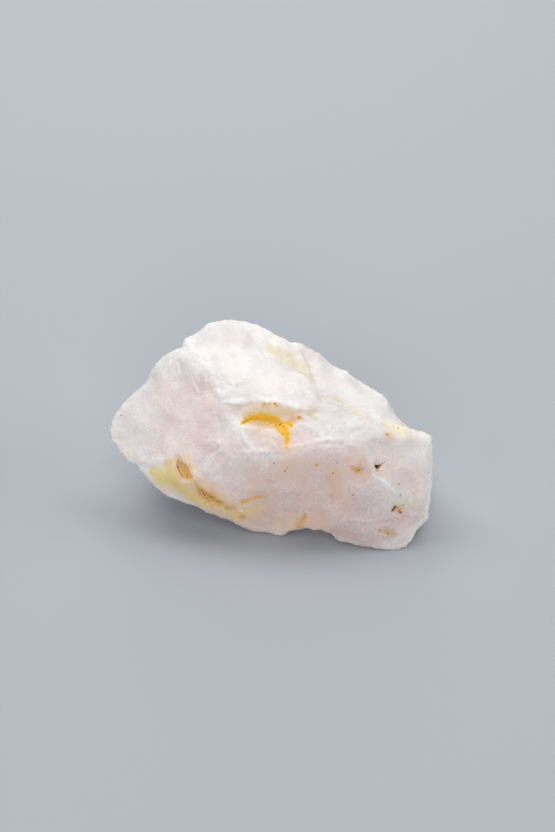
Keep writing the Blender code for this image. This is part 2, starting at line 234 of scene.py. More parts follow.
# Marks on the sides that the photo doesn't show: x, y, z and half width in millimetres
HIDDEN_MARKS = {
    "halo": {
        "seam": [(-24, 30, 26, 1.6), (-12, 33, 20, 2.6), (2, 33, 15, 3.0), (14, 33, 13, 2.0)],
        "right end": [(50, 8, 20, 1.4), (50, 12, 14, 1.0)],
    },
    "rust": {
        "seam": [
            (-22, 30, 25, 0.3), (-12, 33, 20, 0.6), (-4, 33, 17, 0.3), (3, 33, 15, 0.9),
            (12, 33, 13, 0.4),
        ],
        "spot": [(28, 26, 28, 0.8)],
        "left end": [(-52, 6, 20, 0.5), (-50, 10, 16, 0.8)],
        "below": [(-10, -8, 0, 1.2), (4, -4, 0, 1.6), (14, 4, 0, 0.8)],
    },
    "dark": {
        # Painted shade inside a pit
        "pit": [(20, 32, 22, 0.4)],
        "seam": [(-12, 33, 20, 0.2), (-4, 33, 17, 0.1)],
    },
    "speck": {
        "1": [(-30, 26, 18, 0.3)],
        "2": [(8, 33, 27, 0.3)],
        "3": [(34, 22, 16, 0.3)],
        "4": [(-6, 32, 30, 0.26)],
        "5": [(40, 18, 24, 0.3)],
    },
    "lime": {"low back": [(-30, 22, 8, 3.0), (-18, 28, 7, 3.6), (-6, 31, 6, 2.0)]},
    "honey": {"high back": [(10, 28, 40, 2.4), (22, 24, 34, 3.6), (30, 22, 28, 2.0)]},
    "lemon": {"back": [(-38, 18, 26, 3.0)]},
    "frost": {
        "back ridge": [(-8, 26, 44, 2.0), (8, 33, 32, 1.6), (26, 30, 20, 1.6)],
        "back chips": [(-20, 32, 14, 2.2), (36, 24, 12, 2.0)],
    },
}
HIDDEN_BLUSH = {
    "back": (0.55, [(-14, 32, 20, 9), (6, 33, 20, 8)]),
    "back right": (0.25, [(34, 26, 14, 8)]),
    "back left": (0.35, [(-42, 14, 20, 8)]),
    "right end": (0.4, [(54, 0, 22, 9)]),
    "below": (0.3, [(-10, 0, 0, 14), (20, 0, 0, 12)]),
}
BLUSH_AREAS = {
    "left face": (0.38, [(165, 395, 6), (180, 405, 8), (180, 440, 8)]),
    "left face right side": (0.42, [(200, 385, 4.4), (212, 405, 4.4), (206, 440, 4.4)]),
    "front left": (0.5, [(218, 456, 4), (237, 456, 5), (232, 470, 7)]),
    "front": (0.9, [(285, 470, 9), (320, 480, 10), (335, 505, 11)]),
    "front low": (0.65, [(245, 495, 5), (262, 500, 8), (262, 520, 7), (310, 520, 8)]),
    "front low 2": (0.2, [(335, 502, 5)]),
    "front right": (0.55, [(375, 475, 8), (405, 490, 7)]),
    "low right": (0.45, [(340, 530, 4), (358, 536, 4), (380, 536, 4), (400, 520, 4)]),
    "low right band": (0.45, [(392, 517, 2.4), (406, 515, 3), (421, 515, 2.4)]),
    "pocket": (0.3, [(255, 435, 5), (275, 440, 4)]),
    "pocket wall": (0.35, [(238, 406, 3), (265, 409, 3), (290, 413, 3)]),
    "pocket right": (0.4, [(300, 436, 4), (312, 442, 3)]),
    "crack": (0.4, [(196, 480, 4), (220, 498, 5)]),
    "left wall": (0.35, [(160, 485, 4), (182, 494, 4)]),
}
# Painted shade: grey laid over the colour where the stone should lie darker, under the shelf, in the
# pocket, along the foot and on faces that come out too bright under these lamps
PAINTED_SHADE_AREAS = {
    "back": (0.45, [(306, 351, 3.0), (318, 358, 2.6)]),
    "back foot": (0.5, [(308, 352, 4.4), (316, 368, 4.4), (324, 388, 4.4), (334, 402, 3.4)]),
    "back bar": (0.35, [(351, 379, 1.8), (361, 391, 1.4)]),
    "front": (0.22, [(325, 470, 9), (335, 502, 11), (358, 512, 6)]),
    "front low": (0.3, [(268, 503, 4.4), (286, 503, 4.4)]),
    "shelf": (0.6, [(316, 426, 3.0), (345, 428, 4.4), (375, 428, 4.4), (405, 437, 3.4)]),
    "pocket floor": (0.25, [(258, 438, 4), (284, 438, 3.4), (300, 434, 3.4)]),
    "low left": (0.35, [(178, 490, 3.4), (205, 504, 4.0), (240, 520, 4.4), (262, 528, 4.4)]),
    "pit side": (0.25, [(370, 466, 4)]),
    "lip": (0.25, [(285, 395, 3), (300, 398, 3)]),
    "right low": (0.75, [(365, 510, 5), (395, 514, 5), (410, 512, 4)]),
    "back face": (0.2, [(330, 370, 6), (360, 390, 6), (380, 405, 5)]),
    "pocket": (0.3, [(255, 440, 4), (285, 440, 5), (310, 430, 5)]),
    "pocket end": (0.35, [(318, 408, 3)]),
    "low right": (0.65, [(345, 535, 4.4), (375, 544, 4.4), (395, 540, 4.4)]),
    "left tip": (0.4, [(130, 438, 5), (148, 446, 4.4)]),
    "left top": (0.45, [(155, 375, 4), (172, 360, 4), (198, 382, 4)]),
    "left face": (0.2, [(160, 388, 6), (174, 402, 6)]),
    "shelf right": (0.62, [(338, 434, 3), (362, 436, 3.4), (385, 436, 3)]),
    "front middle": (0.25, [(325, 468, 5), (330, 495, 5)]),
    "low right edge": (0.6, [(360, 540, 3), (382, 545, 3.4)]),
    "dome foot": (0.3, [(215, 380, 4), (232, 388, 4), (250, 388, 4)]),
    "left edge": (0.3, [(118, 430, 3.4), (122, 408, 4), (140, 395, 4)]),
    "corner": (0.45, [(420, 437, 4)]),
    "dome right": (0.25, [(290, 368, 5), (304, 388, 5), (350, 409, 4), (372, 412, 4)]),
    "bruise foot": (0.2, [(378, 500, 3.4), (395, 503, 3.4)]),
    "dome top": (0.6, [(206, 338, 5), (222, 330, 5.5), (236, 338, 5)]),
    "dome side": (0.2, [(208, 366, 4)]),
}
# White frost of bruised calcite; the rim and edge marks along the outline are painted highlight
FROST_AND_HIGHLIGHT_MARKS = {
    "bruise": [(372, 472, 0.9), (381, 480, 1.8), (389, 487, 1.8), (400, 497, 1.0)],
    "bruise fan": [(366, 490, 3.4), (378, 497, 4.0)],
    "bruise field": [(364, 482, 3.4), (376, 488, 5.0), (392, 494, 4.4), (404, 494, 2.4)],
    # Painted highlight along the outline
    "left rim": [(113, 424, 0.5), (122, 408, 0.5), (139, 391, 0.6), (151, 373, 0.6), (164, 357, 0.6)],
    "dome rim": [(190, 337, 0.5), (205, 328, 0.6), (222, 321, 0.6), (245, 321, 0.6), (262, 326, 0.5)],
    "corner": [(421, 436, 1.2), (428, 440, 1.2)],
    "shelf streak 1": [(298, 417, 0.3), (315, 424, 0.5), (331, 433, 0.3)],
    "shelf streak 2": [(306, 413, 0.3), (325, 419, 0.4), (347, 428, 0.3)],
    "shelf streak 3": [(290, 424, 0.4), (305, 431, 0.5), (320, 438, 0.3)],
    "shelf streak 4": [(345, 414, 0.3), (362, 421, 0.4), (380, 429, 0.3)],
    "left streak 1": [(150, 374, 0.2), (156, 385, 0.3)],
    "left streak 2": [(160, 366, 0.2), (165, 377, 0.3)],
    "left streak 3": [(171, 358, 0.2), (175, 372, 0.3)],
    "left streak 4": [(185, 364, 0.2), (190, 383, 0.3)],
    "left streak 5": [(193, 381, 0.3), (198, 393, 0.2)],
    "left streak 6": [(205, 388, 0.2), (212, 402, 0.3)],
    "left streak 7": [(167, 394, 0.2), (172, 404, 0.3)],
    "left streak 8": [(214, 412, 0.3), (220, 428, 0.3)],
    "above the pit": [(368, 452, 0.9), (371, 462, 1.1), (371, 472, 1.2)],
    # Painted highlight along the outline
    "back rim": [(308, 347, 0.5), (322, 357, 0.6), (336, 369, 0.6), (352, 378, 0.5)],
    "back rim low": [(362, 384, 0.5), (376, 393, 0.6), (387, 403, 0.6), (391, 413, 0.5)],
    "ridge": [(186, 352, 1.6), (203, 366, 2.2), (215, 380, 1.8), (223, 400, 1.8)],
    "dome foot": [(222, 375, 2.2), (229, 393, 1.8)],
    "spur": [
        (237, 425, 1.6), (242, 438, 2.2), (250, 450, 2.4), (270, 456, 2.2), (292, 454, 2.0),
        (308, 449, 1.2),
    ],
    "lip": [(228, 401, 1.3), (238, 400, 1.4), (262, 399, 1.0), (280, 400, 1.0), (296, 405, 1.2)],
    "pocket floor": [(248, 427, 1.2), (258, 425, 1.4), (268, 427, 0.8)],
    "pocket flecks": [(262, 431, 0.7), (273, 430, 0.8), (265, 443, 1.2), (278, 447, 1.0)],
    "shelf": [(300, 421, 2.4), (320, 432, 3.0), (338, 436, 2.2)],
    "right crumbs": [(404, 503, 1.0), (411, 500, 0.9)],
    # Painted highlight along the outline
    "right rim": [(430, 442, 1.2), (431, 458, 1.0), (431, 475, 1.0), (429, 495, 1.0), (427, 515, 1.0)],
    "left streaks": [(204, 466, 0.5), (212, 455, 0.6), (222, 448, 0.6)],
    "left waves": [(192, 470, 0.6), (202, 478, 0.6), (214, 480, 0.6), (221, 475, 0.5)],
    "left foot": [(130, 462, 1.2), (148, 464, 1.8), (160, 463, 1.2)],
    "left flecks": [(178, 362, 0.4), (181, 372, 0.4)],
    "left flecks low": [(196, 372, 0.4), (199, 380, 0.35)],
    "left chips": [(166, 370, 0.8), (166, 378, 0.5)],
    "knob": [(183, 343, 1.2), (192, 336, 1.4)],
    # Painted highlight along the outline
    "edge left": [(170, 496, 0.8), (205, 508, 0.8), (235, 520, 0.8), (262, 530, 0.8)],
    "edge middle": [(276, 532, 0.7), (290, 528, 0.6)],
    "edge right": [(340, 539, 0.8), (365, 546, 0.8), (395, 549, 0.9), (408, 542, 0.9), (421, 521, 0.8)],
}

# White crumbs and bruises laid over the stains; the crack edge is a painted highlight
WHITE_CRUMB_AND_HIGHLIGHT_MARKS = {
    # Painted highlight on the crack's upper edge
    "crack edge": [(193, 478, 0.2), (196.5, 484, 0.24)],
    "corner line": [(414, 443, 0.2), (422, 444, 0.3), (431, 447, 0.34)],
    "rib 1": [(199, 477, 0.12), (207, 466, 0.18), (216, 456, 0.1)],
    "rib 2": [(204, 480, 0.1), (213, 470, 0.14), (222, 461, 0.08)],
    "rib 3": [(196, 471, 0.08), (203, 461, 0.14), (211, 452, 0.08)],
    "left line": [(141, 395, 0.1), (146, 402, 0.14), (152, 412, 0.1)],
    "bruise": [(380, 478, 0.3), (384, 482, 0.8), (387, 485, 0.6)],
    "bruise end": [(390, 488, 0.6), (394, 491, 0.7), (398, 494, 0.3)],
    "bruise top": [(373, 474, 0.4), (376, 478, 0.5)],
    "lip 1": [(232, 402, 0.8), (239, 401, 0.8)],
    "lip 2": [(262, 401, 0.4), (267, 400, 0.5)],
    "lip 3": [(292, 405, 0.6), (298, 407, 0.6)],
    "crumb 1": [(241, 511, 0.4)],
    "crumb 2": [(406, 507, 0.45)],
    "crumb 3": [(411, 503, 0.5)],
    "pocket": [(266, 430, 0.3), (271, 432, 0.3)],
    "crack head": [(188, 463, 0.4)],
    "pit": [(374, 469, 0.3), (381, 469, 0.3)],
    "left fleck 1": [(178, 362, 0.3), (180, 370, 0.3)],
    "left fleck 2": [(198, 371, 0.35), (196, 377, 0.25)],
    "spur": [(243, 432, 0.4), (246, 441, 0.5), (253, 446, 0.4)],
}

# Steps in the surface: height, softness and reach in millimetres, then picture pixels.
# The side to the left of the line, as one walks along it, stands higher.
STEPS = {
    "dome back edge": (0.8, 0.7, 4.0, [(317, 389), (311, 377), (308, 365), (301, 351), (288, 344)]),
    "scoop front": (
        0.5, 0.9, 3.0,
        [(312, 384), (305, 375), (297, 370), (287, 370), (276, 362), (258, 349)],
    ),
    "lip": (
        0.4, 0.3, 1.8,
        [(222, 402), (234, 405), (242, 404), (258, 402), (272, 402), (288, 408), (298, 409)],
    ),
    "crease 1": (0.4, 0.3, 2.4, [(316, 394), (330, 397), (341, 401), (352, 408), (371, 421), (388, 428)]),
    "crease 2": (0.3, 0.25, 1.6, [(323, 401), (332, 404), (342, 409), (358, 418), (372, 425)]),
    "crease 3": (0.3, 0.3, 2.4, [(318, 389), (335, 392), (352, 401), (368, 411), (386, 419)]),
    "crease 4": (0.2, 0.25, 1.4, [(326, 406), (340, 412), (356, 421)]),
    "shelf front": (
        0.4, 0.4, 2.4,
        [(240, 455), (252, 452), (266, 454), (280, 451), (300, 447), (331, 440)],
    ),
    "shelf front end": (0.35, 0.3, 1.8, [(318, 443), (331, 440), (342, 441)]),
    "shelf corner": (0.3, 0.4, 2.0, [(341, 441), (346, 433), (356, 428), (366, 426)]),
    "corner plate": (0.2, 0.25, 1.6, [(412, 442), (420, 445), (431, 448)]),
    "bruise": (0.6, 0.3, 3.0, [(376, 478), (383, 483), (390, 489), (398, 494)]),
    "bruise shell": (0.3, 0.4, 2.4, [(362, 511), (372, 505), (384, 500), (396, 500)]),
    "crack lip": (0.8, 0.25, 3.4, [(179, 458), (185, 466), (191, 474), (199, 488), (204, 496), (222, 506)]),
    "crack lip end": (0.3, 0.3, 2.0, [(222, 506), (233, 510), (242, 515)]),
    "crack head": (0.3, 0.25, 1.6, [(186, 480), (181, 474), (177, 464)]),
    "wall top": (0.4, 0.6, 3.0, [(131, 460), (142, 463), (156, 465), (168, 462), (178, 458)]),
    "ridge": (0.2, 0.5, 3.0, [(186, 348), (196, 362), (207, 369), (213, 382), (218, 396), (223, 405)]),
    "left line": (0.1, 0.25, 3.0, [(152, 412), (146, 402), (141, 395)]),
    "left plane": (0.3, 1.0, 5.0, [(150, 455), (156, 440), (160, 425), (158, 408)]),
    "dome dip": (0.4, 0.8, 3.0, [(224, 399), (235, 387), (249, 381)]),
    "dome dip foot": (0.3, 0.8, 2.6, [(250, 381), (258, 391), (272, 398)]),
    "spur crest": (0.4, 0.4, 2.4, [(239, 424), (242, 437), (250, 449)]),
    "left rib": (0.3, 0.4, 2.4, [(222, 447), (212, 455), (203, 466), (192, 471)]),
    "left rib 2": (0.25, 0.4, 2.0, [(222, 476), (212, 480), (202, 477), (196, 472)]),
    "corner shell": (0.3, 0.3, 2.0, [(396, 542), (406, 537), (413, 529)]),
    "corner shell 2": (0.3, 0.25, 1.8, [(380, 541), (394, 536), (404, 530), (412, 522)]),
    "low shell 2": (0.25, 0.3, 2.0, [(350, 537), (366, 533), (380, 526)]),
    "right shell": (0.45, 0.4, 2.4, [(390, 519), (404, 516), (420, 520)]),
    "low shell": (0.45, 0.45, 3.0, [(330, 526), (350, 521), (372, 524), (392, 519)]),
    "front fold": (0.35, 0.9, 5.0, [(352, 520), (348, 500), (352, 480), (366, 462)]),
    "left front fold": (0.3, 0.9, 5.0, [(262, 470), (268, 485), (266, 505), (258, 525)]),
    "pocket fold": (0.35, 0.4, 2.4, [(330, 440), (318, 433), (304, 424), (292, 419)]),
    "right edge": (0.3, 0.3, 2.0, [(428, 518), (425, 500), (428, 480), (430, 455)]),
}
# Lumps and, where the height is below zero, dips: height and marks like those above.
LUMPS = {
    "knob": (0.3, [(186, 342, 1.6), (194, 337, 1.6)]),
    "pocket lump": (0.5, [(256, 432, 2.4), (266, 438, 2.4), (275, 441, 1.8)]),
    "under the shelf": (-0.3, [(326, 444, 0.5), (334, 443, 0.6), (342, 443, 0.8)]),
    "pocket floor": (0.8, [(247, 427, 2.0), (258, 426, 2.4), (271, 429, 2.0)]),
    "pocket wall": (0.9, [(244, 417, 2.0), (262, 413, 2.6), (280, 415, 2.4), (302, 414, 1.8)]),
    "lip crumbs": (0.3, [(232, 402, 0.8), (239, 401, 0.9)]),
    "lip crumbs middle": (0.25, [(262, 401, 0.7), (268, 400, 0.7)]),
    "lip crumbs right": (0.3, [(292, 405, 0.8), (298, 407, 0.8)]),
    "bruise crest": (0.3, [(381, 481, 0.6), (388, 488, 0.8), (396, 494, 0.6)]),
    "bruise hollow": (-0.5, [(376, 494, 2.6), (386, 496, 2.2)]),
    "scoop": (-0.5, [(270, 353, 2.4), (288, 360, 3.2), (301, 368, 2.4)]),
    "crack hollow": (-0.4, [(182, 468, 1.6), (186, 476, 1.4)]),
    "crack ledge": (0.35, [(207, 502, 0.8), (216, 506, 0.8)]),
    "crumb": (0.15, [(241, 511, 0.8)]),
    "right crumbs": (0.3, [(404, 503, 0.8), (411, 500, 0.8)]),
    "pit surround": (-0.3, [(378, 466, 1.4)]),
    "brown pit surround": (-0.3, [(396, 509, 1.4)]),
    "right bevel": (-0.5, [(350, 434, 2.2), (370, 434, 2.8), (392, 436, 2.6)]),
    "pocket mouth bevel": (-0.4, [(296, 440, 2.0), (312, 438, 2.2)]),
    "corner": (0.5, [(420, 434, 2.0), (426, 438, 1.8)]),
    "shelf wave": (0.35, [(300, 420, 1.6), (312, 425, 1.6), (322, 432, 1.4)]),
}
STEP_WAVE_SIZE = 2.5
STEP_WAVES = 0.4

# Trims of the outline: a picture pixel, and how many pixels the skin moves inwards there
TRIM_REACH = 17.0
TRIMS = (
    (140, 470, 2.0), (182, 501, 3.5), (192, 504, 8.5), (201, 507, 5.0), (213, 514, 4.0),
    (226, 519, 2.5), (264, 532, 1.5), (290, 531, 1.5), (302, 528, 1.0), (326, 533, 1.6),
    (337, 539, 10.5), (350, 543, 6.0), (379, 549, 1.0), (394, 550, -3.0), (418, 527, 3.0),
    (427, 518, -1.0), (431, 478, 1.5), (422, 430, 5.0), (394, 416, 2.5), (375, 390, -1.5),
    (354, 378, 2.0), (337, 368, 3.5), (318, 353, -1.5), (307, 346, -2.2), (284, 340, 1.2),
    (276, 336, 2.5), (197, 333, 2.2), (181, 344, -1.8), (156, 363, -1.5), (139, 389, 2.0),
    (112, 438, -2.5),
)

# Relief: sizes, heights and depths in millimetres. Bowls and plates have a size and a height.
# Jitter and tilt are shares of a cell, and passes are a count.
BEND_SIZE = 6
BEND_REACH = 1.4
CELL_JITTER = 0.42
BOWL_TILT = 0.6
BOWLS = ((7.5, 0.42), (3.2, 0.16), (1.5, 0.1))
PLATES = ((5.0, 0.06), (2.2, 0.04))
SWELL_SIZE = 9.0
SWELL_HEIGHT = 0.2
GRAIN_SIZE = 1.1
GRAIN_HEIGHT = 0.045
PIT_DEPTH = 1.8
CRACK_DEPTH = 0.5
POCKET_DEPTH = 0.12
FROST_SIZE = 1.6
FROST_HEIGHT = 0.12
RIPPLE_CENTRE = (384, 512)
RIPPLE_RANGE = (3.0, 11.0)
RIPPLE_FADES = (2, 5)
RIPPLE_WANDER = 0.5
RIPPLE_LENGTH = 1.5
RIPPLE_HEIGHT = 0.12
CRUMBLE_PASSES = 6
CRUMBLE_EDGE = 0.12
CRUMBLE_SIZE = 1.0
CRUMBLE_DEPTH = 0.4
# The stained side below
UNDER_HEIGHT = 12.0
UNDER_TILT = 0.72
# Painted warm shade: the stone is warmer and darker near the floor between these two x. Height and fade are
# in millimetres too.
WARM_FOOT = (-50.0, 42.0)
WARM_FOOT_HEIGHT = 7
WARM_FOOT_FADE = 10
WARM_FOOT_SHADE = 0.6
# White edges, fine and broad: evening passes, how far the edge stands out, and strength. They whiten
# crumbled edges and paint a highlight on edges that stand out
WHITE_EDGES = ((4, 0.2, 0.4), (30, 0.8, 0.5))
# Faces that broke smooth, as marks like those above
CALM_MARKS = {
    "left face": [(140, 400, 8), (165, 390, 9), (175, 430, 9)],
    "right front": [(405, 460, 8), (415, 490, 8)],
    "front": [(310, 480, 9), (345, 500, 9)],
    "dome": [(250, 360, 8), (285, 385, 7)],
    "back": [(340, 378, 7), (370, 397, 6)],
}

# Colours, linear
WHITE = (0.925, 0.895, 0.876, 1)
PINK = (0.845, 0.655, 0.62, 1)
# Grey for random smoky patches, and for painted shade
SMOKE_AND_SHADE_GREY = (0.735, 0.73, 0.735, 1)
FROST = (0.95, 0.937, 0.927, 1)
HALO = (0.93, 0.69, 0.39, 1)
GOLD = (1.0, 0.60, 0.02, 1)
STRAW = (0.98, 0.68, 0.20, 1)
AMBER = (0.97, 0.44, 0.003, 1)
RUST = (0.86, 0.48, 0.11, 1)
SMUDGE = (0.72, 0.42, 0.22, 1)
BROWN = (0.36, 0.17, 0.06, 1)
DARK = (0.06, 0.03, 0.012, 1)
LIME = (0.90, 0.72, 0.24, 1)
LEMON = (0.95, 0.87, 0.62, 1)
HONEY = (0.81, 0.72, 0.53, 1)
# Warm tint round the stains, also used as painted warm shade near the floor
WARM_TINT_AND_SHADE = (0.86, 0.60, 0.46, 1)
UNDER = (0.62, 0.33, 0.22, 1)
PAPER = (0.425, 0.45, 0.485, 1)

# How light goes into the stone: weight, reach of red, green and blue, scale in millimetres,
# and how strongly the stone bends it
SCATTER_WEIGHT = 0.55
SCATTER_RADIUS = (1.0, 0.74, 0.66)
SCATTER_SCALE = 0.9
REFRACTION = 1.5
# The surface: roughness from low to high, bump in millimetres, and how strongly frost and the
# stain below cover what is under them
ROUGHNESS_RANGE = (0.36, 0.6)
BUMP_SIZE = 0.5
BUMP_HEIGHT = 0.13
FROST_STRENGTH = 0.8
UNDER_STRENGTH = 0.8
# Loose specks: spacing and radius in millimetres, and the share of places that have one
LOOSE_SPECKS = {"Spacing": 6.0, "Radius": 0.3, "Share": 0.25}
LOOSE_SPECK_STRENGTH = 0.6

# Directions in which the crystal splits
STREAK_DIRECTIONS = ((0.33, -0.87, -0.39), (0.66, 0.1, 0.75))
STREAK_STRETCH = 9.0

# Stains: field, colour, the field's value at the border, softness, grain in millimetres,
# raggedness and strength
STAINS = (
    ("warm_tint_and_shade", WARM_TINT_AND_SHADE, 0.5, 0.5, 3.0, 0.5, 0.7),
    ("lemon", LEMON, 0.5, 0.5, 1.6, 1.1, 0.8),
    ("honey", HONEY, 0.45, 0.35, 1.6, 1.1, 0.8),
    ("lime", LIME, 0.45, 0.45, 2.5, 1.2, 0.85),
    ("halo", HALO, 0.5, 0.5, 1.6, 1.0, 0.75),
    ("smudge", SMUDGE, 0.55, 0.5, 1.2, 1.4, 0.65),
    ("rust", RUST, 0.42, 0.26, 0.8, 1.6, 0.8),
    ("rust", BROWN, 0.92, 0.2, 0.5, 2.4, 0.4),
    ("gold", STRAW, 0.2, 0.2, 0.8, 0.9, 0.8),
    ("gold", GOLD, 0.44, 0.2, 0.8, 1.8, 0.97),
    ("gold", AMBER, 0.66, 0.2, 0.6, 2.4, 0.75),
    ("speck", BROWN, 0.45, 0.3, 0.5, 0.8, 0.75),
    ("white_crumbs_and_highlight", FROST, 0.45, 0.2, 0.5, 1.6, 0.8),
    ("dark", DARK, 0.5, 0.16, 0.4, 1.2, 0.94),
)

# The fields that the material reads
COLOUR_FIELDS = (
    "gold", "halo", "smudge", "rust", "dark", "speck", "white_crumbs_and_highlight", "lime", "lemon", "honey", "warm_tint_and_shade",
    "blush", "grey", "frost",
)

RANDOM = np.random.default_rng(5)
SHUFFLE = RANDOM.permutation(256)
DIRECTIONS = RANDOM.normal(size=(256, 3))
DIRECTIONS /= np.linalg.norm(DIRECTIONS, axis=1, keepdims=True)
SEED_SHIFT = np.array([17.3, 41.9, 29.7])


def cell_codes(cell):
    """A well mixed number from 0 to 255 for each cell of a grid."""
    code = np.zeros(len(cell), int)
    for axis in range(3):
        code = SHUFFLE[(code + cell[:, axis]) & 255]
    return code


def bumps(places, size, seed=0):
    """Smooth noise, about -1 to 1, with bumps of that size in millimetres."""
    at = places / size + seed * SEED_SHIFT
    cell = np.floor(at).astype(int)
    inside = at - cell
    ease = inside**3 * (inside * (inside * 6 - 15) + 10)
    total = np.zeros(len(places))
    for corner in itertools.product((0, 1), repeat=3):
        direction = DIRECTIONS[cell_codes(cell + corner)]
        weight = np.prod(np.where(corner, ease, 1 - ease), axis=1)
        total += weight * np.einsum("ij,ij->i", inside - corner, direction)
    return total * 1.5


def rough(places, size, seed=0, octaves=4):
    """Bumps on bumps, each octave half as large and half as high."""
    return sum(bumps(places, size / 2**k, seed + k) / 2**k for k in range(octaves))


def cells(places, size, seed):
    """Each cell around the points: the way from its centre, and its own direction."""
    at = places / size + seed * SEED_SHIFT
    cell = np.floor(at).astype(int)
    for offset in itertools.product((-1, 0, 1), repeat=3):
        code = cell_codes(cell + offset)
        centre = cell + offset + 0.5 + CELL_JITTER * DIRECTIONS[code]
        yield at - centre, DIRECTIONS[SHUFFLE[code]]


def bowls(places, size, seed):
    """Shallow chipped bowls that meet in sharp ridges, 0 to about 0.5."""
    low = np.full(len(places), 9.0)
    for away, tilt in cells(places, size, seed):
        height = np.einsum("ij,ij->i", away, away + BOWL_TILT * tilt)
        low = np.minimum(low, height)
    return low


def plates(places, size, seed):
    """Flat, tilted plates that meet in small steps, about -0.5 to 0.5."""
    nearest = np.full(len(places), 9.0)
    height = np.zeros(len(places))
    for away, tilt in cells(places, size, seed):
        distance = np.einsum("ij,ij->i", away, away)
        closer = distance < nearest
        height = np.where(closer, np.einsum("ij,ij->i", away, tilt), height)
        nearest = np.where(closer, distance, nearest)
    return height


def photo_rays():
    """The camera's place and its forward, right and up directions."""
    forward = Vector((0, math.cos(CAMERA_TILT), -math.sin(CAMERA_TILT)))
    right = Vector((1, 0, 0))
    return CAMERA_AIM - forward * CAMERA_DISTANCE, forward, right, right.cross(forward)


def on_stone(tree, x, y):
    """The place on the stone, in metres, that the photo shows at a pixel.

    A pixel just outside the model's outline moves towards the stone's middle.
    """
    eye, forward, right, up = photo_rays()
    inwards = Vector((STONE_MIDDLE[0] - x, STONE_MIDDLE[1] - y)).normalized()
    for pixels in range(MOST_PIXELS_OUTSIDE):
        across = (x + inwards[0] * pixels - PICTURE_WIDTH / 2) / PIXELS_PER_UNIT
        above = (PICTURE_HEIGHT / 2 - y - inwards[1] * pixels) / PIXELS_PER_UNIT
        hit = tree.ray_cast(eye, (forward + right * across + up * above).normalized())[0]
        if hit is not None:
            return hit
    raise ValueError(f"no stone near pixel {x}, {y}")


def mark_lines(tree, marks):
    """Each mark as its points on the stone and its half widths, in millimetres."""
    lines = []
    for line in marks.values():
        points = np.array([on_stone(tree, x, y) for x, y, width in line]) / MM
        lines.append((points, np.array([width for x, y, width in line])))
    return lines


def hidden_lines(tree, marks):
    """The same for marks given by their place in millimetres."""
    lines = []
    for line in marks.values():
        points = np.array([tree.find_nearest(Vector(at[:3]) * MM)[0] for at in line]) / MM
        lines.append((points, np.array([at[3] for at in line])))
    return lines


def nearness(places, lines):
    """1 on a mark's middle line, 0.5 at its edge and 0 beyond twice its half width."""
    best = np.zeros(len(places))
    for points, widths in lines:
        last = max(1, len(points) - 1)
        for k in range(last):
            start, end = points[k], points[min(k + 1, len(points) - 1)]
            length = max(1e-6, np.sum((end - start) ** 2))
            along = np.clip((places - start) @ (end - start) / length, 0, 1)
            distance = np.linalg.norm(places - start - along[:, None] * (end - start), axis=1)
            width = widths[k] + along * (widths[min(k + 1, len(widths) - 1)] - widths[k])
            best = np.maximum(best, 1 - distance / (2 * width))
    return best


def areas(places, tree, kinds, lines_of=mark_lines):
    """Soft areas that add up without borders where they meet, 0 to 1."""
    outside = np.ones(len(places))
    for strength, line in kinds.values():
        inside = np.clip(1.2 * nearness(places, lines_of(tree, {"area": line})), 0, 1)
        outside *= 1 - strength * inside * inside * (3 - 2 * inside)
    return 1 - outside


class Skin:
    """The stone's fine mesh as arrays, in millimetres."""

    def __init__(self, mesh):
        self.mesh = mesh
        count = len(mesh.vertices)
        self.places = np.empty(count * 3)
        mesh.vertices.foreach_get("co", self.places)
        self.places = self.places.reshape(-1, 3) / MM
        self.edges = np.empty(len(mesh.edges) * 2, int)
        mesh.edges.foreach_get("vertices", self.edges)
        self.edges = self.edges.reshape(-1, 2)
        self.neighbours = np.bincount(self.edges.ravel(), minlength=count)

    def normals(self):
        out = np.empty(len(self.places) * 3)
        self.mesh.vertices.foreach_get("normal", out)
        return out.reshape(-1, 3)

    def blurred(self, values, passes):
        """Values evened out with their neighbours', that many times."""
        values = values.copy()
        a, b = self.edges.T
        for _ in range(passes):
            for axis in range(values.shape[1]):
                column = values[:, axis]
                total = np.bincount(a, column[b], len(column)) + np.bincount(b, column[a], len(column))
                values[:, axis] = 0.5 * column + 0.5 * total / self.neighbours
        return values

    def standing_out(self, passes):
        """How far each point stands out from its surroundings, in millimetres."""
        away = self.places - self.blurred(self.places, passes)
        return np.einsum("ij,ij->i", away, self.normals())

    def store(self):
        self.mesh.vertices.foreach_set("co", (self.places * MM).ravel())
        self.mesh.update()

    def label(self, name, values):
        self.mesh.attributes.new(name, "FLOAT", "POINT").data.foreach_set("value", values)


def refine(bm, marks, reach):
    """Splits the edges near the fine marks, so that the marks keep sharp borders."""
    near = [marks.find(v.co)[2] < reach * MM for v in bm.verts]
    bm.verts.index_update()
    edges = [e for e in bm.edges if near[e.verts[0].index] and near[e.verts[1].index]]
    bmesh.ops.subdivide_edges(bm, edges=edges, cuts=1, use_grid_fill=True)


def fine_points(tree):
    """Points along the narrow marks, for a quick search."""
    points = []
    lines = []
    for marks in (DARK_MARKS, SPECK_MARKS, {k: RUST_MARKS[k] for k in ("crack", "crack foot")}):
        lines += mark_lines(tree, marks)
    for kind in ("dark", "speck"):
        lines += hidden_lines(tree, HIDDEN_MARKS[kind])
    for line, _ in lines:
        for k in range(max(1, len(line) - 1)):
            end = line[min(k + 1, len(line) - 1)]
            points += [line[k] + (end - line[k]) * t for t in np.linspace(0, 1, FINE_STEPS)]
    search = kdtree.KDTree(len(points))
    for k, point in enumerate(points):
        search.insert(Vector(point) * MM, k)
    search.balance()
    return search


